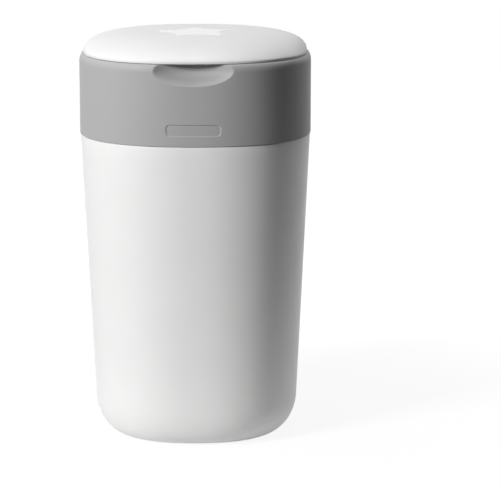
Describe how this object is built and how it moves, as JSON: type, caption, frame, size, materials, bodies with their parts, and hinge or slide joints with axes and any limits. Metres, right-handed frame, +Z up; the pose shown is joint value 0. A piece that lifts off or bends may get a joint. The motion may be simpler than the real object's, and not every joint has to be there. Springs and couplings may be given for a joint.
{
  "type": "nappy bin",
  "caption": "Tall tapered nappy bin with a hinged head, a domed lid over a finger scoop, and a hand-turned ring that twists film from a refill cassette round each nappy.",
  "frame": {"origin": "centre of the base, on the plane that the bin stands on", "axes": "+Z up; -Y is the front with the finger scoop; +Y is the back with both hinges; +X is to the right seen from the front"},
  "size_m": [0.2624, 0.2697, 0.4604],
  "materials": {
    "tub_white": "satin moulded white plastic",
    "collar_grey": "fine-textured grey plastic",
    "lid_white": "satin moulded white plastic",
    "star_gloss": "polished white plastic",
    "inner_white": "plain moulded white plastic",
    "ring_grey": "grey plastic with a soft sheen",
    "slate_plastic": "slate blue-grey plastic",
    "film": "thin white plastic film, crumpled",
    "grip_rubber": "soft moulded elastomer",
    "seal_rubber": "soft grey seal rubber",
    "steel": "bright drawn steel"
  },
  "bodies": {
    "tub": {"tub": "tub_white", "head_hinge_pins": "steel"},
    "head": {"collar": "collar_grey", "deck": "inner_white", "deck_screws": "steel", "chassis": "inner_white", "chassis_screws": "steel", "click_spring": "steel", "gripper": "grip_rubber", "gripper_clamp": "inner_white", "clamp_screws": "steel", "cutter_track": "inner_white", "head_catch": "inner_white", "rim_seal": "seal_rubber", "lid_hinge_pins": "steel"},
    "lid": {"lid": "lid_white", "star_inlay": "star_gloss", "lid_liner": "inner_white", "lid_seal": "seal_rubber", "liner_screws": "steel"},
    "carrier": {"twist_ring": "ring_grey", "cassette_carrier": "inner_white", "cassette_body": "slate_plastic", "cassette_rim": "slate_plastic", "film_pack": "film"},
    "cutter": {"cutter_slider": "slate_plastic", "cutter_blade": "steel"}
  },
  "joints": [
    {"name": "head_hinge", "type": "hinge", "parent": "tub", "child": "head", "pos_m": [0, 0.136, 0.3495], "axis": [-1, 0, 0], "range_deg": [0, 80]},
    {"name": "lid_hinge", "type": "hinge", "parent": "head", "child": "lid", "pos_m": [0, 0.1335, 0.438], "axis": [-1, 0, 0], "range_deg": [0, 100]},
    {"name": "ring_twist", "type": "hinge", "parent": "head", "child": "carrier", "pos_m": [0, 0, 0.41], "axis": [0, 0, 1], "continuous": true},
    {"name": "cutter_slide", "type": "hinge", "parent": "head", "child": "cutter", "pos_m": [0, 0, 0.33], "axis": [0, 0, 1], "range_deg": [-60, 60]}
  ]
}
